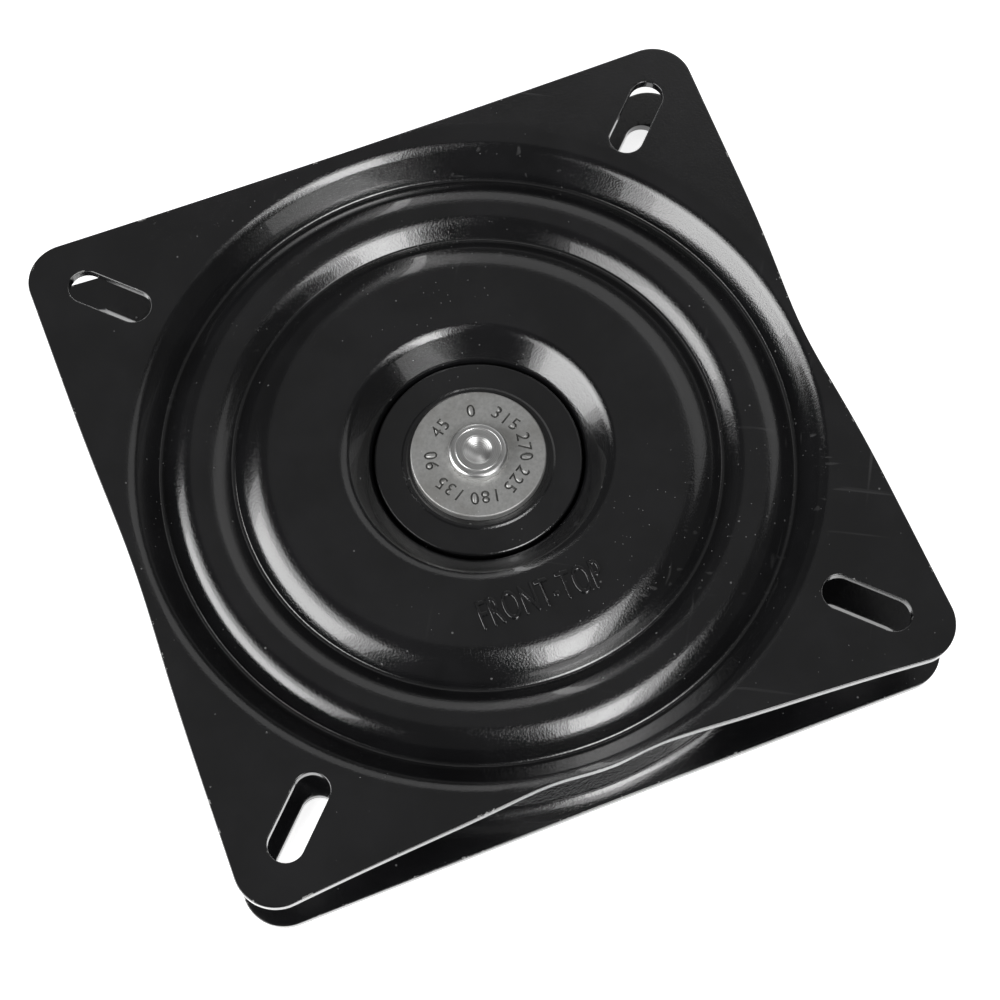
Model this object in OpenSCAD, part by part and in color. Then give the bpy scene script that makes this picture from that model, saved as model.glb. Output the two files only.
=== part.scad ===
// Swivel seat base: two pressed steel plates that turn on a ring of balls.
// A riveted cap and a second, smaller ring of balls hold them together.
// The origin is on the pivot axis, in the plane that the lower plate stands on.

/* [Plates] */
// Side of the square plates, across the straight sides
plate_side = 177.8; // [170:0.1:190]
// Thickness of the plate metal
sheet = 2.6; // [2:0.1:3]
// Radius of the plates' corners
corner_r = 10; // [6:0.5:16]
// How far the middle of each side is drawn in by the pressing
side_draw = 2.2; // [0.5:0.1:3]
// Height over the two plates
total_h = 23.8; // [23.4:0.1:26]

/* [Mounting slots] */
// Length of each slot over its round ends
slot_len = 22; // [14:0.5:26]
// Width of each slot
slot_w = 8.7; // [6:0.1:10]
// Distance from a slot's centre to each of the two sides next to it
slot_inset = 18.2; // [16:0.1:21]

/* [Main race] */
// Diameter of the main balls
ball_d = 12.7; // [12:0.1:13.2]
// Number of main balls
ball_count = 20; // [8:1:24]
// Distance from the circle that the main balls run on to the plates' sides
race_inset = 20.8; // [19.9:0.1:21.9]
// Width of the flat along the top of the race bead
bead_flat = 0.6; // [0.2:0.1:1]
// How much larger than a ball the race groove is, in radius
groove_ease = 0.15; // [0.1:0.05:0.4]
// Run of the bead's outer slope, down to the outer crease
bead_out_run = 5.3; // [4.9:0.1:5.6]
// Run of the bead's inner slope, down to the inner crease
bead_in_run = 5; // [4.6:0.1:5.4]
// Run of the outer wall, from the outer crease up to the shoulder
wall_run = 6.1; // [5.5:0.1:6.3]
// Run of the gentle shoulder outside the wall
shoulder_run = 3.7; // [3:0.1:4]
// Drop of the gentle shoulder
shoulder_drop = 0.9; // [0.5:0.1:1.2]
// Gap between the outer crease and mid height
outer_crease_gap = 1; // [0.9:0.1:1.8]
// Gap between the inner crease and mid height
inner_crease_gap = 2.4; // [1.6:0.1:3]

/* [Centre] */
// Depth of the flat ring around the centre, below the mounting face
plateau_drop = 1; // [0.5:0.1:2]
// Run of the slope from the inner crease up to the flat ring
dome_run = 5.5; // [5:0.1:6]
// Radius of the recess at its mouth
recess_r = 32.7; // [31:0.1:35]
// Run of the cone below the mouth
cone_run = 6.6; // [6:0.1:7]
// Drop of the cone
cone_drop = 7.2; // [6.5:0.1:8]
// Run of the steep wall below the cone
recess_run = 0.2; // [0.1:0.1:1]
// Radius of the hole in the recess floor
floor_hole_r = 12.5; // [11:0.1:14]
// Radius of the raised boss in the lower plate
boss_r = 13; // [12:0.1:15]
// Height of the boss, from the lower plate's flat ring
boss_h = 2.7; // [2.6:0.1:3.1]
// Run of the boss's wall
boss_run = 2.5; // [2:0.1:4]
// Gap between the boss and the recess floor above it
boss_clear = 0.7; // [0.5:0.1:1.2]

/* [Bends] */
// Inside radius of the soft bend at the rim of the pressing
shoulder_bend = 10; // [6:0.5:12]
// Inside radius of the bend at the top of the outer wall
wall_bend = 3; // [1.5:0.1:4]
// Inside radius of the two creases beside the race bead
crease_bend = 0.9; // [0.6:0.1:1.4]
// Inside radius of the soft bend round the flat ring
dome_bend = 10; // [4:0.5:11]
// Inside radius of the bends at the recess's mouth and the foot of its cone
lip_bend = 2.4; // [1.2:0.1:3]
// Inside radius of the bend at the foot of the recess wall
foot_bend = 1; // [0.6:0.1:2]

/* [Inner race] */
// Diameter of the inner balls
inner_ball_d = 3.9; // [3.5:0.1:4]
// Number of inner balls
inner_ball_count = 12; // [6:1:18]
// Distance from the circle that the inner balls run on to the cap's edge
inner_race_inset = 5.5; // [4.5:0.1:6.5]

/* [Cap, washer and rivet] */
// Gap between the cap's edge and the foot of the recess wall
cap_gap = 0.4; // [0.3:0.1:1.5]
// Thickness of the cap
cap_t = 2.5; // [2:0.1:3]
// Radius of the washer
washer_r = 16.6; // [13:0.1:19]
// Thickness of the washer
washer_t = 2.7; // [1.5:0.1:3]
// Radius of the rivet's upper head
head_r = 7.3; // [6.5:0.1:9]
// Height of the rivet's upper head
head_h = 2.6; // [1.5:0.1:3]
// Radius of the rivet's lower head
tail_r = 7.8; // [6.5:0.1:9]
// Height of the rivet's lower head
tail_h = 2.2; // [1.5:0.1:2.4]
// Radius of the rivet's shank
shank_r = 5; // [4:0.1:5.5]
// Outer radius of the spacer sleeve
sleeve_r = 8.6; // [7:0.1:10]

/* [Ball retainers] */
// Thickness of the main retainer
retainer_t = 1.4; // [1:0.1:1.6]
// Width of the main retainer
retainer_w = 16.4; // [15.5:0.1:17]
// Thickness of the inner retainer
inner_retainer_t = 0.9; // [0.6:0.1:1.2]
// Width of the inner retainer
inner_retainer_w = 6.2; // [5.5:0.1:7]

/* [Fits] */
// Clearance of a ball to each face that it runs on
race_clear = 0.04; // [0.02:0.01:0.1]
// Clearance of a ball in its retainer, all round
pocket_clear = 0.2; // [0.1:0.05:0.4]
// Clearance of the shank in the pieces that it holds
shank_clear = 0.05; // [0.02:0.01:0.15]

/* [Hidden] */
slot_pitch = plate_side - 2 * slot_inset;
race_r = plate_side / 2 - race_inset;
mid_h = total_h / 2;
bead_drop = mid_h - ball_d / 2 - race_clear - sheet;
outer_crease = mid_h - outer_crease_gap - sheet;
inner_crease = mid_h - inner_crease_gap - sheet;
bead_bend = ball_d / 2 + groove_ease;
bead_out_tilt = atan((outer_crease - bead_drop) / bead_out_run);
bead_in_tilt = atan((inner_crease - bead_drop) / bead_in_run);
bead_out_r = race_r + bead_flat / 2 + (bead_bend + sheet) * tan(bead_out_tilt / 2);
bead_in_r = race_r - bead_flat / 2 - (bead_bend + sheet) * tan(bead_in_tilt / 2);
outer_crease_r = bead_out_r + bead_out_run;
inner_crease_r = bead_in_r - bead_in_run;
wall_r = outer_crease_r + wall_run;
shoulder_r = wall_r + shoulder_run;
dome_r = inner_crease_r - dome_run;
throat_r = recess_r - cone_run;
floor_r = throat_r - recess_run;
blank_r = plate_side * 0.75;
boss_top = plateau_drop + sheet + boss_h;
boss_bottom = boss_top - sheet;
floor_z = boss_top + boss_clear + sheet;
inner_ball_z = floor_z + race_clear + inner_ball_d / 2;
cap_bottom = inner_ball_z + inner_ball_d / 2 + race_clear;
cap_top = cap_bottom + cap_t;
cap_r = floor_r - cap_gap;
inner_race_r = cap_r - inner_race_inset;
washer_top = cap_top + washer_t;
head_top = washer_top + head_h;
tail_bottom = boss_bottom - tail_h;
hole_r = shank_r + shank_clear;
side_chord = plate_side - 2 * corner_r;
side_arc_r = (pow(side_chord / 2, 2) + side_draw * side_draw) / (2 * side_draw);
bend_steps = 5;
break_edge = 0.4;
cut_over = 1;
boss_bend = 0.8;
dimple_r = 3.2;
dimple_depth = 1;
head_round = 0.9;
$fn = 96;

MAIN_BALLS = [for (k = [1:ball_count]) str("main_ball_", k)];
INNER_BALLS = [for (k = [1:inner_ball_count]) str("inner_ball_", k)];

// Bend list of the part that both plates share, from the rim inwards.
// Each entry is radius, depth below the mounting face and inside bend radius.
race_bends = [
    [blank_r, 0, 0],
    [shoulder_r, 0, shoulder_bend],
    [wall_r, shoulder_drop, wall_bend],
    [outer_crease_r, outer_crease, crease_bend],
    [bead_out_r, bead_drop, bead_bend],
    [bead_in_r, bead_drop, bead_bend],
    [inner_crease_r, inner_crease, crease_bend],
    [dome_r, plateau_drop, dome_bend]
];
top_bends = concat(race_bends, [
    [recess_r, plateau_drop, lip_bend],
    [throat_r, plateau_drop + cone_drop, lip_bend / 2],
    [floor_r, total_h - floor_z, foot_bend],
    [floor_hole_r, total_h - floor_z, 0]
]);
bottom_bends = concat(race_bends, [
    [boss_r + boss_run, plateau_drop, foot_bend],
    [boss_r, plateau_drop + boss_h, boss_bend],
    [hole_r, plateau_drop + boss_h, 0]
]);

function unit(v) = v / norm(v);
function left(v) = [-v[1], v[0]];
function turned(v, a) = [v[0] * cos(a) - v[1] * sin(a), v[0] * sin(a) + v[1] * cos(a)];
function reversed(list) = [for (k = [len(list) - 1:-1:0]) list[k]];

// Points of a round bend at b, on the way from a to c
function bend(a, b, c, r) =
    let (u = unit(b - a), v = unit(c - b), turn = atan2(cross(u, v), u * v))
    let (start = b - u * r * tan(abs(turn) / 2), centre = start + sign(turn) * r * left(u))
    [for (k = [0:bend_steps]) centre + turned(start - centre, turn * k / bend_steps)];

// The corner at b, moved by t to the left of both legs
function mitre(a, b, c, t) =
    let (m = left(unit(b - a)), n = left(unit(c - b)))
    b + t * (m + n) / (1 + m * n);

// One face of a bent sheet: at = 0 is the upper face, at = 1 the lower
function face(bends, t, at) =
    let (p = [for (b = bends) [b[0], -b[1]]], last = len(p) - 1)
    let (q = [for (k = [0:last])
        k == 0 ? p[0] + at * t * left(unit(p[1] - p[0])) :
        k == last ? p[last] + at * t * left(unit(p[last] - p[last - 1])) :
        mitre(p[k - 1], p[k], p[k + 1], at * t)])
    [for (k = [0:last]) each
        k == 0 || k == last ? [q[k]] :
        let (under = cross(p[k] - p[k - 1], p[k + 1] - p[k]) > 0)
        bend(q[k - 1], q[k], q[k + 1], bends[k][2] + ((under ? 1 - at : at) * t))];

module sheet_section(bends) {
    polygon(concat(face(bends, sheet, 0), reversed(face(bends, sheet, 1))));
}

module plate_outline() {
    inner = plate_side / 2 - corner_r;
    difference() {
        union() {
            square([plate_side, 2 * inner], center = true);
            square([2 * inner, plate_side], center = true);
            for (x = [-inner, inner], y = [-inner, inner])
                translate([x, y]) circle(r = corner_r);
        }
        for (a = [0:90:270])
            rotate(a) translate([plate_side / 2 - side_draw + side_arc_r, 0]) circle(r = side_arc_r, $fn = 720);
    }
}

module slot_outline() {
    run = slot_len - slot_w;
    square([run, slot_w], center = true);
    for (x = [-run / 2, run / 2])
        translate([x, 0]) circle(d = slot_w);
}

module slots() {
    for (a = [45:90:315])
        rotate(a) translate([slot_pitch / sqrt(2), 0])
            linear_extrude(4 * total_h, center = true) slot_outline();
}

// A plate with its mounting face at z = 0, facing up
module plate(bends) {
    difference() {
        intersection() {
            rotate_extrude() sheet_section(bends);
            linear_extrude(4 * total_h, center = true) plate_outline();
        }
        slots();
    }
}

module top_plate() {
    color("#1c1c1e") translate([0, 0, total_h]) plate(top_bends);
}

module bottom_plate() {
    color("#242426") mirror([0, 0, 1]) plate(bottom_bends);
}

// Flat ring with broken edges, standing on z = 0
module ring(outer, inner, t) {
    rotate_extrude()
        polygon([
            [inner, 0],
            [outer - break_edge, 0],
            [outer, break_edge],
            [outer, t - break_edge],
            [outer - break_edge, t],
            [inner, t]
        ]);
}

module cap_disc() {
    color("#19191b") translate([0, 0, cap_bottom]) ring(cap_r, hole_r, cap_t);
}

module washer() {
    color("#9a9a98") translate([0, 0, cap_top]) ring(washer_r, hole_r, washer_t);
}

module spacer_sleeve() {
    color("#8c8f93")
        translate([0, 0, boss_top])
            rotate_extrude() translate([hole_r, 0]) square([sleeve_r - hole_r, cap_bottom - boss_top]);
}

module pivot_rivet() {
    color("#cfcfcc")
        rotate_extrude()
            polygon([
                [0, tail_bottom],
                [tail_r - head_round, tail_bottom],
                [tail_r, tail_bottom + head_round],
                [tail_r, boss_bottom],
                [shank_r, boss_bottom],
                [shank_r, washer_top],
                [head_r, washer_top],
                [head_r, head_top - head_round],
                [head_r - head_round, head_top],
                [dimple_r, head_top],
                [0, head_top - dimple_depth]
            ]);
}

// Flat ring with a round pocket for each ball
module retainer(r, w, t, z, count, d) {
    translate([0, 0, z - t / 2])
        difference() {
            rotate_extrude() translate([r - w / 2, 0]) square([w, t]);
            for (k = [1:count])
                rotate(k * 360 / count) translate([r, 0, -cut_over])
                    cylinder(d = d + 2 * pocket_clear, h = t + 2 * cut_over);
        }
}

module main_retainer() {
    color("#d8d2c0") retainer(race_r, retainer_w, retainer_t, mid_h, ball_count, ball_d);
}

module inner_retainer() {
    color("#d8d2c0")
        retainer(inner_race_r, inner_retainer_w, inner_retainer_t, inner_ball_z, inner_ball_count, inner_ball_d);
}

module main_ball(k) {
    color("#b9bcc0") rotate(k * 360 / ball_count) translate([race_r, 0, mid_h]) sphere(d = ball_d);
}

module inner_ball(k) {
    color("#b9bcc0")
        rotate(k * 360 / inner_ball_count) translate([inner_race_r, 0, inner_ball_z]) sphere(d = inner_ball_d);
}

bottom_plate();
top_plate();
cap_disc();
washer();
pivot_rivet();
spacer_sleeve();
main_retainer();
inner_retainer();
for (k = [1:ball_count])
    main_ball(k);
for (k = [1:inner_ball_count])
    inner_ball(k);
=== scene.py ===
"""Looks of the swivel seat base.

Pressed plates in black enamel, cap, washer and rivet are built here; the balls, retainers and
sleeve keep their solids' meshes and get materials. Then come the floor, the lamps and the camera.
"""

import math

import bmesh
import bpy
from mathutils import Matrix, Quaternion, Vector


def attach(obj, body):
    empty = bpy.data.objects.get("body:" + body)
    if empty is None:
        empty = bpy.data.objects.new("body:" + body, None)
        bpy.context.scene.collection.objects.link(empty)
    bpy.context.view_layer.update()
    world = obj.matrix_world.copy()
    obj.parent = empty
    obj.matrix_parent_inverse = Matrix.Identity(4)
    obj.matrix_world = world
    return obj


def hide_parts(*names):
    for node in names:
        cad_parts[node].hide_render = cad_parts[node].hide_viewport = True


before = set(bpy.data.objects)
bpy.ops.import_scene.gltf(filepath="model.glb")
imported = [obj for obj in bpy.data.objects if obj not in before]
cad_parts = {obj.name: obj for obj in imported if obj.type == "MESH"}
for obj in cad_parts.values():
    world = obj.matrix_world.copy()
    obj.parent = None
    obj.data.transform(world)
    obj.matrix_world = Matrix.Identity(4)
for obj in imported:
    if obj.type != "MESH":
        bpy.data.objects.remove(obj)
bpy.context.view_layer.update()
MM = 0.001

# Sizes in mm, the same as the solids have
PLATE_SIDE = 177.8
SHEET = 2.6
CORNER_R = 10.0
TOTAL_H = 23.8
SLOT_LEN = 22.0
SLOT_W = 8.7
SLOT_PITCH = 141.4
CAP_R = 25.5
CAP_TOP = 16.08
CAP_BOTTOM = 13.58
WASHER_R = 16.6
WASHER_TOP = 18.78
HOLE_R = 5.05
HEAD_R = 7.3
HEAD_TOP = 21.38
TAIL_R = 7.8
TAIL_BOTTOM = 1.5
BOSS_BOTTOM = 3.7
SHANK_R = 5.0
PLATEAU_DROP = 1.0
FLOOR_DROP = 14.2
FLOOR_HOLE_R = 12.5

# Race groove, round the circle that the main balls run on
RACE_R = 68.1
BEAD_BEND = 6.5
BEAD_DROP = 2.91
OUTER_CREASE = 8.3
INNER_CREASE = 6.9
BEAD_RUN_OUT = 5.3
BEAD_RUN_IN = 5.0
BEAD_FLAT = 0.6
WALL_RUN = 6.1
SHOULDER_RUN = 3.7
DOME_RUN = 5.5

BEAD_OUT_R = RACE_R + BEAD_FLAT / 2 + (BEAD_BEND + SHEET) * math.tan(
    math.atan((OUTER_CREASE - BEAD_DROP) / BEAD_RUN_OUT) / 2)
BEAD_IN_R = RACE_R - BEAD_FLAT / 2 - (BEAD_BEND + SHEET) * math.tan(
    math.atan((INNER_CREASE - BEAD_DROP) / BEAD_RUN_IN) / 2)
OUTER_CREASE_R = BEAD_OUT_R + BEAD_RUN_OUT
INNER_CREASE_R = BEAD_IN_R - BEAD_RUN_IN
WALL_R = OUTER_CREASE_R + WALL_RUN

# Bends of the pressed sheet, from the rim inwards: radius, depth below the mounting face,
# inside radius
RACE_BENDS = [
    (0.75 * PLATE_SIDE, 0.0, 0.0),
    (WALL_R + SHOULDER_RUN, 0.0, 10.0),
    (WALL_R, 0.9, 3.0),
    (OUTER_CREASE_R, OUTER_CREASE, 0.9),
    (BEAD_OUT_R, BEAD_DROP, BEAD_BEND),
    (BEAD_IN_R, BEAD_DROP, BEAD_BEND),
    (INNER_CREASE_R, INNER_CREASE, 0.9),
    (INNER_CREASE_R - DOME_RUN, PLATEAU_DROP, 10.0),
]
TOP_BENDS = RACE_BENDS + [
    (32.7, PLATEAU_DROP, 2.4),
    (26.1, PLATEAU_DROP + 7.2, 1.2),
    (25.9, FLOOR_DROP, 1.0),
    (FLOOR_HOLE_R, FLOOR_DROP, 0.0),
]
BOTTOM_BENDS = RACE_BENDS + [
    (15.5, PLATEAU_DROP, 1.0),
    (13.0, BOSS_BOTTOM, 0.8),
    (HOLE_R, BOSS_BOTTOM, 0.0),
]

# How each side is drawn in: depth of an even bow, depth and width of a hollow, depth and width
# of a bulge in it
TOP_DRAWS = {
    "right": (0.9, 2.0, 24.0, 0.0, 1.0),
    "rear": (0.7, 0.0, 1.0, 0.0, 1.0),
    "left": (0.5, 1.2, 26.0, 0.0, 1.0),
    "front": (3.6, 2.2, 22.0, 2.1, 11.0),
}
BOTTOM_DRAWS = {
    "right": (0.9, 2.0, 24.0, 0.0, 1.0),
    "rear": (2.2, 0.0, 1.0, 0.0, 1.0),
    "left": (0.5, 1.2, 26.0, 0.0, 1.0),
    "front": (0.3, 0.0, 1.0, 0.0, 1.0),
}

# Low ring pressed up in the cap: radii of its inner foot, both crest edges and outer foot
CAP_RING_RADII = (17.3, 17.7, 18.4, 18.9)
CAP_RING_RISE = 0.22

# Rivet: flat and sloped part of the tail, and the head from its rim to the cone's tip as
# (radius, depth below the top)
TAIL_FLAT_R = 5.6
TAIL_SLOPE = 0.9
HEAD_SECTION = [(HEAD_R, 0.1), (5.7, 0.1), (5.55, 0.22), (5.4, 0.05), (3.9, 0.0), (3.3, 0.15),
                (0.0, 2.1)]

# Numbers cut into the washer: type size, depth, radius of their feet, turn back from the angle
# that they name, and how far the tools stand above the face
NUMBER_SIZE = 4.757
NUMBER_DEPTH = 0.16
NUMBER_RING_R = 9.9
NUMBER_LAG_DEG = 12
NUMBER_CLEAR = 0.3

# Raised wording on the upper plate: type size, share of its width, rise and rounding of the
# strokes, how much thinner they are, place, and how far their feet reach into the sheet
MARK_SIZE = 10.4
MARK_NARROWING = 0.52
MARK_RISE = 0.3
MARK_BEVEL = 0.28
MARK_OFFSET = -0.16
MARK_Y = -41.0
MARK_SINK = 0.05

# How finely the pieces are divided, and the distances in mm that count as no distance
TURN_STEPS = 384
CAP_STEPS = 192
WASHER_STEPS = 160
RIVET_STEPS = 128
SLOT_STEPS = 40
BEND_STEP_DEG = 6.0
FLAT_STEPS = 7
ARRIS_STEPS = 3
OUTLINE_ROUNDS = 12
WELD = 0.0005
NEAR = 0.001

# The spun section stays as it is up to FIXED_R and is stretched from there to the outline. Its
# shoulder ends at SHOULDER_END and its flat at FLATS_END. Where less than FULL_ROOM is left
# between FIXED_R and the rim, the shoulder is squeezed. CORNER_CROWDING draws the spokes
# towards the corners.
FIXED_R = 82.5
SHOULDER_END = 89.2
FLATS_END = 100.0
FULL_ROOM = 7.0
CORNER_CROWDING = 0.6

# Cut edges, in mm: width of the rubbed band, round along both faces, overshoot of the cutters;
# and the place of their enamel among a plate's materials
RIM_BAND = 0.6
ARRIS = 0.28
CUTTER_CLEAR = 1.5
EDGE_INDEX = 1

# Stage, in metres
FLOOR_HALF = 6.0
FLOOR_SINK = 0.0002
FLOOR_GLOW = 0.8
LAMP_DISTANCE = 0.9


# ---------- materials ----------

def new_group(name, inputs, outputs):
    """Empty shader node group with named sockets, and its two end nodes"""
    group = bpy.data.node_groups.new(name, "ShaderNodeTree")
    for label, value in inputs:
        kind = "NodeSocketFloat" if isinstance(value, float) else "NodeSocketVector"
        socket = group.interface.new_socket(label, in_out="INPUT", socket_type=kind)
        if isinstance(value, float):
            socket.default_value = value
    for label, kind in outputs:
        group.interface.new_socket(label, in_out="OUTPUT", socket_type=kind)
    return group, group.nodes.new("NodeGroupInput"), group.nodes.new("NodeGroupOutput")


def math_node(tree, operation, a, b=None, c=None):
    """Math node fed by sockets or numbers; gives its output socket"""
    node = tree.nodes.new("ShaderNodeMath")
    node.operation = operation
    for socket, value in zip(node.inputs, (a, b, c)):
        if value is None:
            continue
        if isinstance(value, (int, float)):
            socket.default_value = value
        else:
            tree.links.new(value, socket)
    return node.outputs[0]


def object_place(tree):
    return tree.nodes.new("ShaderNodeTexCoord").outputs["Object"]


def noise(tree, place, scale, detail=2.0, rough=0.5):
    node = tree.nodes.new("ShaderNodeTexNoise")
    tree.links.new(place, node.inputs["Vector"])
    node.inputs["Scale"].default_value = scale
    node.inputs["Detail"].default_value = detail
    node.inputs["Roughness"].default_value = rough
    return node.outputs["Fac"]


def ramp(tree, value, low, high):
    """0 below low, 1 above high, smooth between"""
    node = tree.nodes.new("ShaderNodeMapRange")
    node.interpolation_type = "SMOOTHSTEP"
    tree.links.new(value, node.inputs["Value"])
    node.inputs["From Min"].default_value = low
    node.inputs["From Max"].default_value = high
    return node.outputs["Result"]


def make_specks_group():
    """Small pale grains of dust, scattered"""
    group, inp, out = new_group(
        "dust_specks", [("Place", None), ("Scale", 900.0), ("Share", 0.1)],
        [("Mask", "NodeSocketFloat")])
    cells = group.nodes.new("ShaderNodeTexVoronoi")
    group.links.new(inp.outputs["Place"], cells.inputs["Vector"])
    group.links.new(inp.outputs["Scale"], cells.inputs["Scale"])
    away = ramp(group, cells.outputs["Distance"], 0.10, 0.22)
    near = math_node(group, "SUBTRACT", 1.0, away)
    split = group.nodes.new("ShaderNodeSeparateColor")
    group.links.new(cells.outputs["Color"], split.inputs["Color"])
    chosen = math_node(group, "LESS_THAN", split.outputs["Red"], inp.outputs["Share"])
    group.links.new(math_node(group, "MULTIPLY", near, chosen), out.inputs["Mask"])
    return group


def make_scratches_group():
    """Fine straight scuffs that run one way and break off"""
    group, inp, out = new_group(
        "fine_scratches", [("Place", None), ("Turn", 0.6), ("Scale", 500.0)],
        [("Mask", "NodeSocketFloat")])
    turn = group.nodes.new("ShaderNodeVectorRotate")
    turn.rotation_type = "Z_AXIS"
    group.links.new(inp.outputs["Place"], turn.inputs["Vector"])
    group.links.new(inp.outputs["Turn"], turn.inputs["Angle"])
    stretch = group.nodes.new("ShaderNodeVectorMath")
    stretch.operation = "MULTIPLY"
    stretch.inputs[1].default_value = (0.03, 1.0, 1.0)
    group.links.new(turn.outputs["Vector"], stretch.inputs[0])
    lines = group.nodes.new("ShaderNodeTexNoise")
    group.links.new(stretch.outputs["Vector"], lines.inputs["Vector"])
    group.links.new(inp.outputs["Scale"], lines.inputs["Scale"])
    lines.inputs["Detail"].default_value = 1.0
    thin = ramp(group, lines.outputs["Fac"], 0.70, 0.76)
    group.links.new(thin, out.inputs["Mask"])
    return group


def make_peel_group():
    """Orange peel of sprayed enamel, as a height"""
    group, inp, out = new_group(
        "orange_peel", [("Place", None), ("Scale", 420.0)], [("Height", "NodeSocketFloat")])
    coarse = group.nodes.new("ShaderNodeTexNoise")
    fine = group.nodes.new("ShaderNodeTexNoise")
    for node in (coarse, fine):
        group.links.new(inp.outputs["Place"], node.inputs["Vector"])
    group.links.new(inp.outputs["Scale"], coarse.inputs["Scale"])
    group.links.new(math_node(group, "MULTIPLY", inp.outputs["Scale"], 3.1), fine.inputs["Scale"])
    coarse.inputs["Detail"].default_value = 1.0
    fine.inputs["Detail"].default_value = 1.5
    small = math_node(group, "MULTIPLY", fine.outputs["Fac"], 0.45)
    group.links.new(math_node(group, "ADD", coarse.outputs["Fac"], small), out.inputs["Height"])
    return group


def use(tree, group, place, **values):
    """Puts a group into the tree with its settings; gives its output socket"""
    node = tree.nodes.new("ShaderNodeGroup")
    node.node_tree = group
    tree.links.new(place, node.inputs["Place"])
    for label, value in values.items():
        node.inputs[label].default_value = value
    return node.outputs[0]


def mix_node(tree, data_type, amount, first, second):
    """Goes from first to second by amount; each is a socket or a plain value"""
    node = tree.nodes.new("ShaderNodeMix")
    node.data_type = data_type
    tree.links.new(amount, node.inputs["Factor"])
    for socket, value in ((node.inputs["A"], first), (node.inputs["B"], second)):
        if isinstance(value, (float, tuple)):
            socket.default_value = value
        else:
            tree.links.new(value, socket)
    return node.outputs["Result"]


def mix_colour(tree, amount, first, second):
    ends = [(*value, 1.0) if isinstance(value, tuple) else value for value in (first, second)]
    return mix_node(tree, "RGBA", amount, *ends)


def mix_value(tree, amount, first, second):
    return mix_node(tree, "FLOAT", amount, first, second)


def scaled(colour, factor):
    return tuple(c * factor for c in colour)


def bump(tree, height, distance, strength=1.0, under=None):
    """Normal bent by a height, with distance in metres, on top of another bend if one is given"""
    node = tree.nodes.new("ShaderNodeBump")
    node.inputs["Strength"].default_value = strength
    node.inputs["Distance"].default_value = distance
    tree.links.new(height, node.inputs["Height"])
    if under is not None:
        tree.links.new(under, node.inputs["Normal"])
    return node.outputs["Normal"]


def new_material(name):
    """Empty material, its node tree and its shader"""
    material = bpy.data.materials.new(name)
    material.use_nodes = True
    tree = material.node_tree
    return material, tree, tree.nodes["Principled BSDF"]


def enamel(name, base, wear):
    """Gloss black enamel with orange peel, dust and fine scuffs

    A larger wear rubs more of it down to steel, and 0 rubs nothing down.
    """
    peel_scale, peel_depth, dust_depth = 2100.0, 0.00004, 0.00006
    material, tree, shader = new_material(name)
    place = object_place(tree)
    cloud = noise(tree, place, 45.0, 4.0, 0.6)
    specks = use(tree, SPECKS, place, Scale=620.0, Share=0.012)
    patch = ramp(tree, noise(tree, place, 26.0, 3.0), 0.50, 0.64)
    crowd = use(tree, SPECKS, place, Scale=1300.0, Share=0.05)
    crowd = math_node(tree, "MULTIPLY", crowd, patch)
    dust = math_node(tree, "MAXIMUM", math_node(tree, "MULTIPLY", specks, 0.6), crowd)
    scuff_zone = ramp(tree, noise(tree, place, 14.0, 2.0), 0.52, 0.66)
    scuffs = math_node(tree, "MAXIMUM", use(tree, SCRATCHES, place, Turn=0.5, Scale=520.0),
                       use(tree, SCRATCHES, place, Turn=2.1, Scale=430.0))
    scuffs = math_node(tree, "MULTIPLY", scuffs, scuff_zone)
    colour = mix_colour(tree, ramp(tree, cloud, 0.35, 0.7), base, scaled(base, 1.7))
    tint = math_node(tree, "MULTIPLY", scuffs, 0.07)
    colour = mix_colour(tree, tint, colour, (0.30, 0.30, 0.30))
    tint = math_node(tree, "MULTIPLY", dust, 0.5)
    colour = mix_colour(tree, tint, colour, (0.40, 0.40, 0.40))
    gloss = mix_value(tree, ramp(tree, cloud, 0.3, 0.75), 0.06, 0.11)
    dull = math_node(tree, "MAXIMUM", math_node(tree, "MULTIPLY", scuffs, 0.4), dust)
    gloss = mix_value(tree, dull, gloss, 0.5)
    if wear:
        worn = ramp(tree, noise(tree, place, 240.0, 5.0, 0.7), 0.74 - wear, 0.78 - wear)
        tint = math_node(tree, "MULTIPLY", worn, 0.6)
        colour = mix_colour(tree, tint, colour, (0.42, 0.42, 0.41))
        gloss = mix_value(tree, worn, gloss, 0.32)
    tree.links.new(colour, shader.inputs["Base Color"])
    tree.links.new(gloss, shader.inputs["Roughness"])
    normal = bump(tree, use(tree, PEEL, place, Scale=peel_scale), peel_depth)
    normal = bump(tree, dust, dust_depth, 0.6, normal)
    tree.links.new(normal, shader.inputs["Normal"])
    shader.inputs["IOR"].default_value = 1.55
    shader.inputs["Specular IOR Level"].default_value = 0.8
    shader.inputs["Coat Weight"].default_value = 0.7
    shader.inputs["Coat Roughness"].default_value = 0.03
    return material


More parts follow.
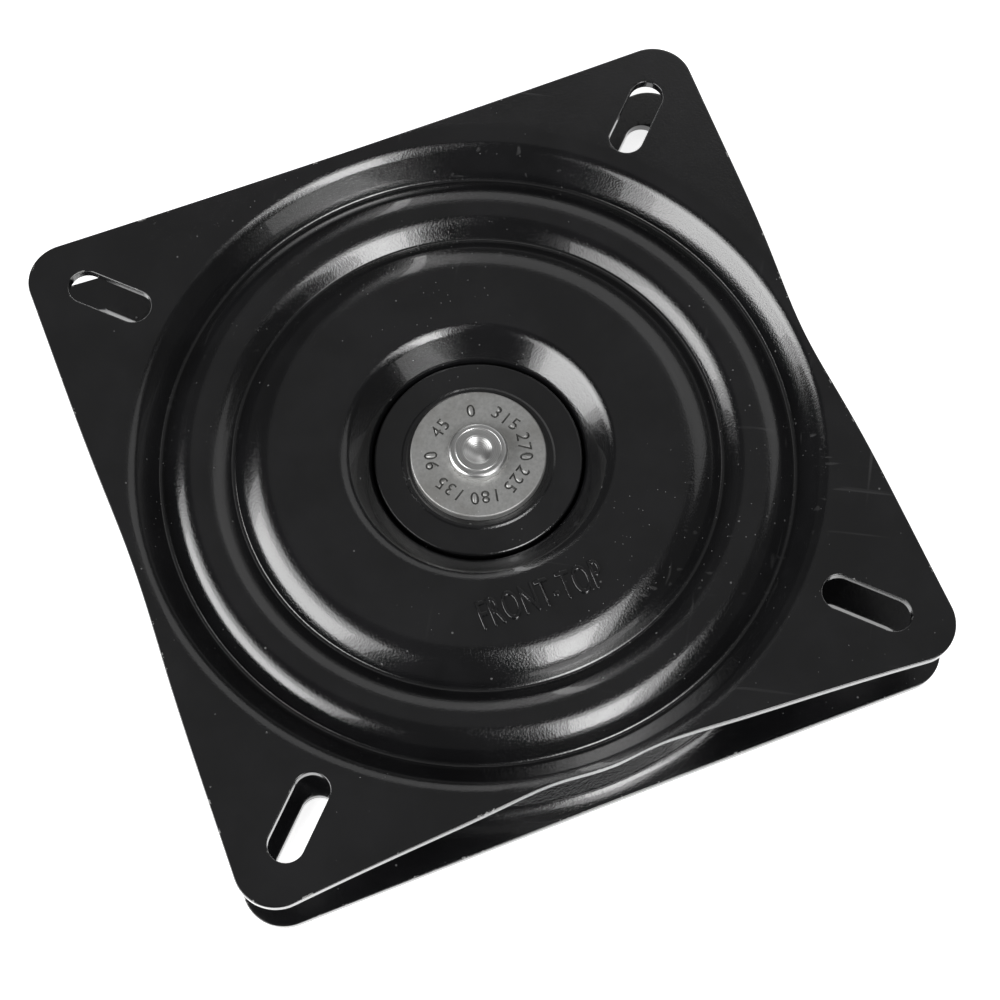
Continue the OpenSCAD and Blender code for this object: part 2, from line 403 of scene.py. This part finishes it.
def washer_metal(name, base, grime):
    """Dull grey steel, mottled, with a darker tint where grime gathers"""
    material, tree, shader = new_material(name)
    place = object_place(tree)
    mottle = noise(tree, place, 900.0, 4.0, 0.65)
    broad = noise(tree, place, 140.0, 3.0)
    colour = mix_colour(tree, ramp(tree, mottle, 0.3, 0.75), base, scaled(base, 0.78))
    tint = math_node(tree, "MULTIPLY", ramp(tree, broad, 0.45, 0.7), 0.4)
    colour = mix_colour(tree, tint, colour, grime)
    specks = use(tree, SPECKS, place, Scale=1100.0, Share=0.05)
    tint = math_node(tree, "MULTIPLY", specks, 0.6)
    colour = mix_colour(tree, tint, colour, (0.75, 0.75, 0.74))
    tree.links.new(colour, shader.inputs["Base Color"])
    tree.links.new(mix_value(tree, mottle, 0.42, 0.62), shader.inputs["Roughness"])
    tree.links.new(bump(tree, mottle, 0.00003, 0.6), shader.inputs["Normal"])
    shader.inputs["Metallic"].default_value = 0.75
    return material


def turned_metal(name, base, rough, pitch):
    """Bright turned steel with concentric tool marks about the Z axis, pitch metres apart"""
    material, tree, shader = new_material(name)
    place = object_place(tree)
    split = tree.nodes.new("ShaderNodeSeparateXYZ")
    tree.links.new(place, split.inputs[0])
    squares = [math_node(tree, "POWER", split.outputs[c], 2.0) for c in ("X", "Y")]
    radius = math_node(tree, "SQRT", math_node(tree, "ADD", squares[0], squares[1]))
    wobble = math_node(tree, "MULTIPLY", noise(tree, place, 300.0, 2.0), 1.4)
    phase = math_node(tree, "MULTIPLY_ADD", radius, 2 * math.pi / pitch, wobble)
    rings = math_node(tree, "SINE", phase)
    smear = noise(tree, place, 500.0, 3.0)
    colour = mix_colour(tree, ramp(tree, rings, -1.0, 1.0), base, scaled(base, 0.86))
    tint = math_node(tree, "MULTIPLY", ramp(tree, smear, 0.5, 0.75), 0.35)
    colour = mix_colour(tree, tint, colour, scaled(base, 0.7))
    tree.links.new(colour, shader.inputs["Base Color"])
    tree.links.new(mix_value(tree, smear, rough, rough + 0.16), shader.inputs["Roughness"])
    tree.links.new(bump(tree, rings, 0.000012, 0.7), shader.inputs["Normal"])
    shader.inputs["Metallic"].default_value = 1.0
    return material


def ball_metal(name):
    """Bright ball steel under a thin, uneven film of grease"""
    material, tree, shader = new_material(name)
    place = object_place(tree)
    film = noise(tree, place, 260.0, 3.0)
    clean, greasy = (0.72, 0.73, 0.74), (0.55, 0.52, 0.45)
    colour = mix_colour(tree, ramp(tree, film, 0.35, 0.7), clean, greasy)
    tree.links.new(colour, shader.inputs["Base Color"])
    tree.links.new(mix_value(tree, film, 0.06, 0.24), shader.inputs["Roughness"])
    tree.links.new(bump(tree, noise(tree, place, 1500.0), 0.000005, 0.4), shader.inputs["Normal"])
    shader.inputs["Metallic"].default_value = 1.0
    return material


def nylon(name):
    """Natural nylon, yellowed in clouds and flecked with dark grains"""
    material, tree, shader = new_material(name)
    place = object_place(tree)
    cloud = noise(tree, place, 70.0, 4.0)
    fresh, yellowed = (0.70, 0.66, 0.54), (0.58, 0.52, 0.40)
    colour = mix_colour(tree, ramp(tree, cloud, 0.35, 0.7), fresh, yellowed)
    specks = use(tree, SPECKS, place, Scale=800.0, Share=0.05)
    tint = math_node(tree, "MULTIPLY", specks, 0.5)
    colour = mix_colour(tree, tint, colour, (0.20, 0.18, 0.15))
    tree.links.new(colour, shader.inputs["Base Color"])
    tree.links.new(mix_value(tree, cloud, 0.4, 0.6), shader.inputs["Roughness"])
    grain = noise(tree, place, 1200.0, 3.0)
    tree.links.new(bump(tree, grain, 0.00003, 0.5), shader.inputs["Normal"])
    shader.inputs["Subsurface Weight"].default_value = 0.1
    shader.inputs["Subsurface Scale"].default_value = 0.001
    return material


SPECKS = make_specks_group()
SCRATCHES = make_scratches_group()
PEEL = make_peel_group()
PLATE_ENAMEL = enamel("plate_enamel", (0.0055, 0.0055, 0.006), 0.0)
EDGE_ENAMEL = enamel("edge_enamel", (0.0055, 0.0055, 0.006), 0.14)
CAP_ENAMEL = enamel("cap_enamel", (0.007, 0.007, 0.0075), 0.0)
WASHER_STEEL = washer_metal("washer_steel", (0.52, 0.52, 0.51), (0.30, 0.29, 0.27))
MARK_GRIME = washer_metal("washer_mark_grime", (0.10, 0.10, 0.095), (0.05, 0.05, 0.045))
RIVET_STEEL = turned_metal("rivet_steel", (0.92, 0.92, 0.91), 0.25, 0.00042)
SLEEVE_STEEL = turned_metal("sleeve_steel", (0.50, 0.51, 0.52), 0.30, 0.0006)
BALL_STEEL = ball_metal("ball_steel")
NYLON = nylon("retainer_nylon")


# ---------- meshes ----------

def finish_piece(bm, name, materials, body, stands_for=()):
    """Turns a bmesh in mm into a finished piece of the object"""
    bmesh.ops.remove_doubles(bm, verts=bm.verts, dist=WELD)
    bmesh.ops.recalc_face_normals(bm, faces=bm.faces)
    bmesh.ops.transform(bm, matrix=Matrix.Scale(MM, 4), verts=bm.verts)
    for face in bm.faces:
        face.smooth = True
    mesh = bpy.data.meshes.new(name)
    bm.to_mesh(mesh)
    bm.free()
    for material in materials:
        mesh.materials.append(material)
    obj = bpy.data.objects.new(name, mesh)
    bpy.context.scene.collection.objects.link(obj)
    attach(obj, body)
    if stands_for:
        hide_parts(*stands_for)
    return obj


def spun(points, steps, closed):
    """Revolves a section of (radius, height) points about the Z axis"""
    bm = bmesh.new()
    verts = [bm.verts.new((r, 0.0, z)) for r, z in points]
    pairs = list(zip(verts, verts[1:])) + ([(verts[-1], verts[0])] if closed else [])
    edges = [bm.edges.new(pair) for pair in pairs]
    bmesh.ops.spin(bm, geom=verts + edges, cent=(0, 0, 0), axis=(0, 0, 1), angle=2 * math.pi,
                   steps=steps, use_merge=True, use_duplicate=False)
    bmesh.ops.remove_doubles(bm, verts=bm.verts, dist=WELD)
    bmesh.ops.recalc_face_normals(bm, faces=bm.faces)
    return bm


def rounded(points, radii, step_deg=18.0):
    """Open path through the points, with each inner corner rounded to its radius"""
    path = [Vector(points[0])]
    for before, here, after, radius in zip(points, points[1:], points[2:], radii):
        a, b, c = Vector(before), Vector(here), Vector(after)
        u, v = (b - a).normalized(), (c - b).normalized()
        turn = math.atan2(u.x * v.y - u.y * v.x, u.dot(v))
        if radius <= 0 or abs(turn) < 0.001:
            path.append(b)
            continue
        start = b - u * radius * math.tan(abs(turn) / 2)
        side = math.copysign(1.0, turn)
        centre = start + Vector((-u.y, u.x)) * radius * side
        steps = max(2, round(math.degrees(abs(turn)) / step_deg))
        for k in range(steps + 1):
            path.append(centre + Matrix.Rotation(turn * k / steps, 2) @ (start - centre))
    path.append(Vector(points[-1]))
    return path


def sheet_face(bends, lower):
    """One face of the bent sheet as (radius, height) points, from the rim inwards

    The mounting face is at height 0, and lower picks the face under it.
    """
    p = [Vector((r, -depth)) for r, depth, _ in bends]
    shift = SHEET if lower else 0.0
    legs = [(b - a).normalized() for a, b in zip(p, p[1:])]
    sides = [Vector((-leg.y, leg.x)) for leg in legs]
    corners = [p[0] + sides[0] * shift]
    radii = []
    for k in range(1, len(p) - 1):
        m, n = sides[k - 1], sides[k]
        corners.append(p[k] + (m + n) * shift / (1 + m.dot(n)))
        turns_left = legs[k - 1].x * legs[k].y - legs[k - 1].y * legs[k].x > 0
        inside = turns_left if lower else not turns_left
        radii.append(bends[k][2] + (0.0 if inside else SHEET))
    corners.append(p[-1] + sides[-1] * shift)
    return rounded(corners, radii, BEND_STEP_DEG)


def height_on(path, radius):
    """Height of a face at a radius, by its own points"""
    for a, b in zip(path, path[1:]):
        if b.x <= radius <= a.x:
            share = (a.x - radius) / max(a.x - b.x, 1e-9)
            return a.y + (b.y - a.y) * share
    return path[0].y


def drawn_in(along, draws):
    """How far a side is drawn in at a distance along it from its middle"""
    bow, hollow, hollow_width, bulge, bulge_width = draws
    chord = PLATE_SIDE / 2 - CORNER_R
    even = bow * max(0.0, 1 - (along / chord) ** 2)
    return (even + hollow * math.exp(-(along / hollow_width) ** 2)
            - bulge * math.exp(-(along / bulge_width) ** 2))


def outline_reach(angle, draws):
    """Distance from the axis to the plate's outline in one direction"""
    half = PLATE_SIDE / 2
    chord = half - CORNER_R
    x, y = math.cos(angle), math.sin(angle)
    if abs(x) > abs(y):
        side = "right" if x > 0 else "left"
    else:
        side = "rear" if y > 0 else "front"
    c, s = max(abs(x), abs(y)), min(abs(x), abs(y))
    reach = half / c
    for _ in range(OUTLINE_ROUNDS):
        reach = (half - drawn_in(reach * s, draws[side])) / c
    if reach * s > chord:
        along = chord * (c + s)
        reach = along + math.sqrt(along ** 2 - 2 * chord ** 2 + CORNER_R ** 2)
    return reach


def cut_edge_round():
    """Steps along the quarter round of a cut edge, as distances from its first and second side"""
    angles = [math.pi / 2 * k / ARRIS_STEPS for k in range(ARRIS_STEPS, -1, -1)]
    return [(ARRIS * (1 - math.sin(a)), ARRIS * (1 - math.cos(a))) for a in angles]


def face_row(path, base, inward):
    """One face of the plate's section, from the cut edge inwards, before the stretch

    base is the flat's height, inward the side of it that the sheet lies on.
    """
    edge = FLATS_END + RIM_BAND
    flats = [SHOULDER_END + (FLATS_END - SHOULDER_END) * k / FLAT_STEPS
             for k in range(1, FLAT_STEPS + 1)]
    row = [(edge - from_wall, base + inward * from_face)
           for from_wall, from_face in cut_edge_round()]
    row += [(r, base) for r in reversed(flats)]
    row += [(p.x, p.y) for p in path if p.x <= SHOULDER_END]
    return row


def pressed_plate(bends, draws):
    """Plate with its mounting face at 0 facing up: a spun section, stretched to the outline"""
    faces = [sheet_face(bends, False), sheet_face(bends, True)]
    section = face_row(faces[0], 0.0, -1.0) + face_row(faces[1], -SHEET, 1.0)[::-1]
    bm = spun(section, TURN_STEPS, True)
    for face in bm.faces:
        if all(math.hypot(v.co.x, v.co.y) > FLATS_END - NEAR for v in face.verts):
            face.material_index = EDGE_INDEX
    reaches = {}
    for v in bm.verts:
        r = math.hypot(v.co.x, v.co.y)
        angle = math.atan2(v.co.y, v.co.x)
        angle += CORNER_CROWDING / 4 * math.sin(4 * angle)
        if r <= FIXED_R:
            v.co.x, v.co.y = r * math.cos(angle), r * math.sin(angle)
            continue
        spoke = round(angle, 5)
        if spoke not in reaches:
            reaches[spoke] = outline_reach(angle, draws)
        reach = reaches[spoke]
        end = reach - RIM_BAND
        squeeze = min(1.0, (end - FIXED_R) / FULL_ROOM)
        bend_end = FIXED_R + (SHOULDER_END - FIXED_R) * squeeze
        top = v.co.z > (height_on(faces[0], r) + height_on(faces[1], r)) / 2
        extra = 0.0
        if r <= SHOULDER_END + NEAR:
            new_r = FIXED_R + (r - FIXED_R) * squeeze
        elif r <= FLATS_END + NEAR:
            share = (r - SHOULDER_END) / (FLATS_END - SHOULDER_END)
            new_r = bend_end + (end - bend_end) * share
        else:
            new_r = reach - (FLATS_END + RIM_BAND - r)
            extra = v.co.z if top else v.co.z + SHEET
        path = faces[0] if top else faces[1]
        v.co = (new_r * math.cos(angle), new_r * math.sin(angle),
                height_on(path, new_r) + extra)
    return bm


def slot_cutter():
    """Four tools that cut the slots and leave a small round along both faces"""
    bm = bmesh.new()
    half_run = (SLOT_LEN - SLOT_W) / 2
    radius = SLOT_W / 2
    half_step = Matrix.Rotation(math.pi / SLOT_STEPS, 4, "Z")
    levels = [(CUTTER_CLEAR, ARRIS)]
    levels += [(-from_face, from_wall) for from_face, from_wall in cut_edge_round()]
    levels += [(-SHEET - z, grow) for z, grow in reversed(levels)]
    for quarter in range(4):
        loops = []
        for z, grow in levels:
            ring = bmesh.ops.create_circle(bm, cap_ends=False, radius=radius + grow,
                                           segments=SLOT_STEPS, matrix=half_step)["verts"]
            for v in ring:
                v.co.x += math.copysign(half_run, v.co.x)
                v.co.z = z
            loops.append(ring)
        edges = [list({e for v in ring for e in v.link_edges}) for ring in loops]
        for a, b in zip(edges, edges[1:]):
            bmesh.ops.bridge_loops(bm, edges=a + b)
        for ring in (loops[0], loops[-1]):
            bmesh.ops.contextual_create(bm, geom=ring)
        place = (Matrix.Rotation(math.radians(45 + 90 * quarter), 4, "Z")
                 @ Matrix.Translation((SLOT_PITCH / math.sqrt(2), 0, 0)))
        bmesh.ops.transform(bm, matrix=place, verts=[v for ring in loops for v in ring])
    bmesh.ops.recalc_face_normals(bm, faces=bm.faces)
    return bm


def cut_with(obj, cutter_bm, material):
    """Takes the cutter's shape out of obj for good, and gives the cut faces the material"""
    mesh = bpy.data.meshes.new("cutter")
    bmesh.ops.transform(cutter_bm, matrix=Matrix.Scale(MM, 4), verts=cutter_bm.verts)
    cutter_bm.to_mesh(mesh)
    cutter_bm.free()
    mesh.materials.append(material)
    tool = bpy.data.objects.new("cutter", mesh)
    bpy.context.scene.collection.objects.link(tool)
    cut = obj.modifiers.new("cut", "BOOLEAN")
    cut.operation = "DIFFERENCE"
    cut.solver = "EXACT"
    cut.object = tool
    cut.material_mode = "TRANSFER"
    depsgraph = bpy.context.evaluated_depsgraph_get()
    made = bpy.data.meshes.new_from_object(obj.evaluated_get(depsgraph))
    obj.modifiers.clear()
    old = obj.data
    obj.data = made
    made.name = old.name
    bpy.data.meshes.remove(old)
    bpy.data.objects.remove(tool)
    for polygon in made.polygons:
        polygon.use_smooth = True
    return obj


def weigh_normals(obj):
    """Large flat faces keep their own normals beside the small rounds"""
    weigh = obj.modifiers.new("weighted_normals", "WEIGHTED_NORMAL")
    weigh.mode = "FACE_AREA"
    weigh.weight = 60
    return obj


def make_plate(name, bends, draws, base_z, flip, body, node):
    bm = pressed_plate(bends, draws)
    cutter = slot_cutter()
    place = Matrix.Translation((0, 0, base_z))
    if flip:
        place = place @ Matrix.Scale(-1, 4, (0, 0, 1))
    for shape in (bm, cutter):
        bmesh.ops.transform(shape, matrix=place, verts=shape.verts)
        bmesh.ops.recalc_face_normals(shape, faces=shape.faces)
    obj = finish_piece(bm, name, [PLATE_ENAMEL, EDGE_ENAMEL], body, [node])
    return weigh_normals(cut_with(obj, cutter, EDGE_ENAMEL))


def make_cap():
    """Disc with a rounded edge and a low ring pressed up round the washer"""
    foot_in, crest_in, crest_out, foot_out = CAP_RING_RADII
    crest = CAP_TOP + CAP_RING_RISE
    points = [(HOLE_R, CAP_TOP), (foot_in, CAP_TOP), (crest_in, crest), (crest_out, crest),
              (foot_out, CAP_TOP), (CAP_R, CAP_TOP), (CAP_R, CAP_BOTTOM), (HOLE_R, CAP_BOTTOM)]
    path = rounded(points, [0.2, 0.3, 0.3, 0.2, 0.6, 0.5])
    bm = spun([tuple(p) for p in path], CAP_STEPS, True)
    return weigh_normals(finish_piece(
        bm, "cap_disc_pressed", [CAP_ENAMEL], "base", ["cap_disc"]))


def lettering(text, place, shape):
    """Mesh of a line of text, moved by the matrix place; shape holds the text curve's settings"""
    curve = bpy.data.curves.new("lettering", "FONT")
    curve.body = text
    curve.align_x = "CENTER"
    for label, value in shape.items():
        setattr(curve, label, value)
    obj = bpy.data.objects.new("lettering", curve)
    bpy.context.scene.collection.objects.link(obj)
    depsgraph = bpy.context.evaluated_depsgraph_get()
    mesh = bpy.data.meshes.new_from_object(obj.evaluated_get(depsgraph))
    mesh.transform(place)
    bpy.data.objects.remove(obj)
    return mesh


def stamped_numbers():
    """Numbers of degrees round the washer, as solid tools that reach a little into its face"""
    bm = bmesh.new()
    shape = {"size": NUMBER_SIZE, "extrude": NUMBER_DEPTH + NUMBER_CLEAR,
             "space_character": 1.12, "resolution_u": 3}
    for degrees in range(0, 360, 45):
        place = (Matrix.Rotation(math.radians(degrees - NUMBER_LAG_DEG), 4, "Z")
                 @ Matrix.Translation((0, NUMBER_RING_R, WASHER_TOP + NUMBER_CLEAR)))
        mesh = lettering(str(degrees), place, shape)
        bm.from_mesh(mesh)
        bpy.data.meshes.remove(mesh)
    bmesh.ops.remove_doubles(bm, verts=bm.verts, dist=2 * WELD)
    bmesh.ops.recalc_face_normals(bm, faces=bm.faces)
    return bm


def make_washer():
    """Flat washer with numbers of degrees cut into its face"""
    points = [(HOLE_R, WASHER_TOP), (WASHER_R, WASHER_TOP), (WASHER_R, CAP_TOP), (HOLE_R, CAP_TOP)]
    path = rounded(points, [0.45, 0.3])
    bm = spun([tuple(p) for p in path], WASHER_STEPS, True)
    obj = finish_piece(bm, "washer_stamped", [WASHER_STEEL], "base", ["washer"])
    return weigh_normals(cut_with(obj, stamped_numbers(), MARK_GRIME))


def make_rivet():
    """Spun rivet: domed tail, shank, stepped head with a cone pressed into its middle"""
    tail = [(0.0, 0.0), (TAIL_FLAT_R, 0.0), (TAIL_R, TAIL_SLOPE)]
    shank = [(TAIL_R, BOSS_BOTTOM), (SHANK_R, BOSS_BOTTOM), (SHANK_R, WASHER_TOP),
             (HEAD_R, WASHER_TOP)]
    points = [(r, TAIL_BOTTOM + rise) for r, rise in tail] + shank
    points += [(r, HEAD_TOP - drop) for r, drop in HEAD_SECTION]
    path = rounded(points, [1.2, 0.8, 0.1, 0.0, 0.0, 0.1, 1.0, 0.1, 0.06, 0.1, 0.5, 0.4], 12.0)
    bm = spun([tuple(p) for p in path], RIVET_STEPS, False)
    return weigh_normals(finish_piece(
        bm, "pivot_rivet_spun", [RIVET_STEEL], "base", ["pivot_rivet"]))


def make_front_mark():
    """Raised wording that shows which edge is the front and which face is the top"""
    shape = {"align_y": "CENTER", "size": MARK_SIZE, "space_character": 1.06,
             "extrude": MARK_RISE, "bevel_depth": MARK_BEVEL, "bevel_resolution": 3,
             "offset": MARK_OFFSET, "resolution_u": 4}
    place = (Matrix.Translation((0, MARK_Y, TOTAL_H - PLATEAU_DROP - MARK_SINK))
             @ Matrix.Diagonal((MARK_NARROWING, 1, 1, 1)))
    mesh = lettering("FRONT-TOP", place, shape)
    bm = bmesh.new()
    bm.from_mesh(mesh)
    bpy.data.meshes.remove(mesh)
    return finish_piece(bm, "front_mark_raised", [PLATE_ENAMEL], "turntable")


def dress_inner_pieces():
    """Materials for the balls, retainers and sleeve, which keep their solids' meshes"""
    for name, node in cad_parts.items():
        if name.endswith("retainer"):
            finish = NYLON
        elif "ball" in name:
            finish = BALL_STEEL
        elif name == "spacer_sleeve":
            finish = SLEEVE_STEEL
        else:
            continue
        node.data.materials.clear()
        node.data.materials.append(finish)
        for polygon in node.data.polygons:
            polygon.use_smooth = "ball" in name


# ---------- floor, lamps and camera ----------

def make_floor():
    """Pale floor that shows white to the camera and keeps the shadow"""
    bm = bmesh.new()
    bmesh.ops.create_grid(bm, x_segments=8, y_segments=8, size=FLOOR_HALF)
    bmesh.ops.translate(bm, verts=bm.verts, vec=(0, 0, -FLOOR_SINK))
    mesh = bpy.data.meshes.new("floor")
    bm.to_mesh(mesh)
    bm.free()
    floor = bpy.data.objects.new("floor", mesh)
    bpy.context.scene.collection.objects.link(floor)
    material, tree, shader = new_material("pale_floor")
    shader.inputs["Base Color"].default_value = (0.86, 0.86, 0.86, 1)
    shader.inputs["Roughness"].default_value = 0.9
    shader.inputs["Specular IOR Level"].default_value = 0.1
    paths = tree.nodes.new("ShaderNodeLightPath")
    seen = math_node(tree, "MAXIMUM", paths.outputs["Is Camera Ray"],
                     paths.outputs["Is Glossy Ray"])
    seen = math_node(tree, "MAXIMUM", seen, paths.outputs["Is Transmission Ray"])
    shader.inputs["Emission Color"].default_value = (1, 1, 1, 1)
    glow = math_node(tree, "MULTIPLY", seen, FLOOR_GLOW)
    tree.links.new(glow, shader.inputs["Emission Strength"])
    mesh.materials.append(material)


def make_lamp(name, azimuth, elevation, spread_wide, spread_high, radiance, lean=0.0):
    """Soft box aimed at the plates; angles in degrees, azimuth counted from +X towards +Y"""
    width, height = (2 * LAMP_DISTANCE * math.tan(math.radians(spread / 2))
                     for spread in (spread_wide, spread_high))
    light = bpy.data.lights.new(name, "AREA")
    light.shape = "RECTANGLE"
    light.size = width
    light.size_y = height
    light.energy = radiance * math.pi * width * height
    lamp = bpy.data.objects.new(name, light)
    bpy.context.scene.collection.objects.link(lamp)
    a, e = math.radians(azimuth), math.radians(elevation)
    away = Vector((math.cos(a) * math.cos(e), math.sin(a) * math.cos(e), math.sin(e)))
    aim = away.to_track_quat("Z", "Y")
    lamp.location = away * LAMP_DISTANCE
    lamp.rotation_mode = "QUATERNION"
    lamp.rotation_quaternion = aim @ Quaternion((0, 0, 1), math.radians(lean))
    lamp.visible_camera = False


def make_world():
    """Dim, even surroundings"""
    world = bpy.data.worlds.new("studio")
    world.use_nodes = True
    back = world.node_tree.nodes["Background"]
    back.inputs["Color"].default_value = (0.05, 0.05, 0.05, 1)
    back.inputs["Strength"].default_value = 1.0
    bpy.context.scene.world = world


def make_camera():
    """Camera at the photograph's view; azimuth is counted from the front towards +X"""
    azimuth, elevation, roll = (math.radians(angle) for angle in (-21.15, 68.25, -0.14))
    distance = 0.540
    target = Vector((0.59, -15.49, TOTAL_H)) * MM
    away = Vector((math.sin(azimuth) * math.cos(elevation),
                   -math.cos(azimuth) * math.cos(elevation),
                   math.sin(elevation)))
    level = (-away).cross(Vector((0, 0, 1))).normalized()
    upright = level.cross(-away)
    right = level * math.cos(roll) + upright * math.sin(roll)
    up = upright * math.cos(roll) - level * math.sin(roll)
    data = bpy.data.cameras.new("camera")
    data.sensor_width = 36.0
    data.lens = 81.3
    data.shift_x = -0.0036
    data.clip_start = 0.01
    data.clip_end = 50.0
    camera = bpy.data.objects.new("camera", data)
    bpy.context.scene.collection.objects.link(camera)
    turn = Matrix((right, up, away)).transposed().to_4x4()
    camera.matrix_world = Matrix.Translation(target + away * distance) @ turn
    bpy.context.scene.camera = camera


make_plate("top_plate_pressed", TOP_BENDS, TOP_DRAWS, TOTAL_H, False, "turntable", "top_plate")
make_plate("bottom_plate_pressed", BOTTOM_BENDS, BOTTOM_DRAWS, 0.0, True, "base", "bottom_plate")
make_cap()
make_washer()
make_rivet()
make_front_mark()
dress_inner_pieces()

make_floor()
# Name, azimuth, elevation, width and height as seen from the plates, radiance, lean
make_lamp("lamp_left", 178.0, 26.0, 60.0, 46.0, 2.6, 8.0)
make_lamp("lamp_left_core", 178.0, 24.0, 44.0, 28.0, 2.6, 8.0)
make_lamp("lamp_right", 289.0, 50.0, 24.0, 46.0, 2.6, -18.0)
make_lamp("lamp_right_core", 284.0, 46.0, 13.0, 36.0, 4.4, -14.0)
make_lamp("lamp_right_low", 285.0, 17.0, 38.0, 9.0, 1.3)
make_lamp("lamp_slit", 79.5, 26.0, 2.2, 44.0, 3.0)
make_lamp("lamp_back_fill", 40.0, 36.0, 74.0, 30.0, 0.40)
make_lamp("lamp_top_fill", 62.0, 70.0, 60.0, 50.0, 0.08)
make_world()
make_camera()
bpy.context.scene.view_settings.view_transform = "Standard"
